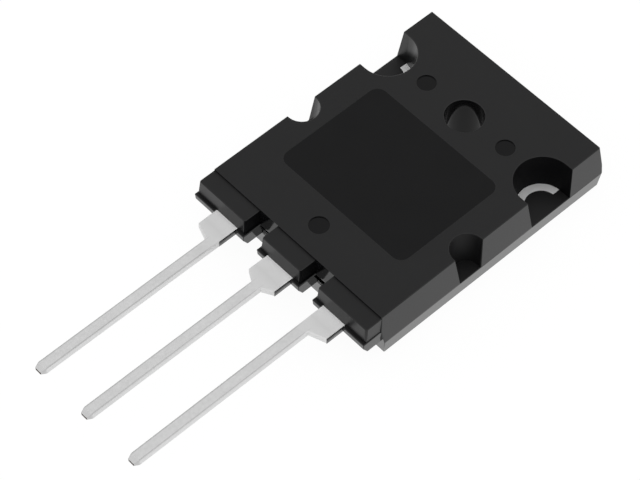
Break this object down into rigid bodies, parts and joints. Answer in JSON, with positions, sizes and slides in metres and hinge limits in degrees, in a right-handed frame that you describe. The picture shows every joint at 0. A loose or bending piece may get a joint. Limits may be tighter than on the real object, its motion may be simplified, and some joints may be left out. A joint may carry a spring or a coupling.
{
  "type": "power transistor",
  "caption": "Black moulded power transistor with a screw hole, notched sides, flat tinned leads and a bare metal back for a heat sink.",
  "frame": {"origin": "centre of the mounting hole on the metal back", "axes": "+Z from the metal back to the top face, -Y along the leads, +X across the body to the right-hand lead"},
  "size_m": [0.02, 0.0457, 0.005],
  "materials": {
    "moulding": "semi-gloss black epoxy moulding",
    "plated_metal": "bright tin plating",
    "silicon": "polished dark grey",
    "solder": "dull grey solder",
    "bond_wire": "drawn aluminium wire"
  },
  "bodies": {
    "root": {"moulded_body": "moulding", "heat_spreader": "plated_metal", "left_lead": "plated_metal", "right_lead": "plated_metal", "chip": "silicon", "die_attach_solder": "solder", "control_wire": "bond_wire", "power_wire_1": "bond_wire", "power_wire_2": "bond_wire"}
  },
  "joints": []
}
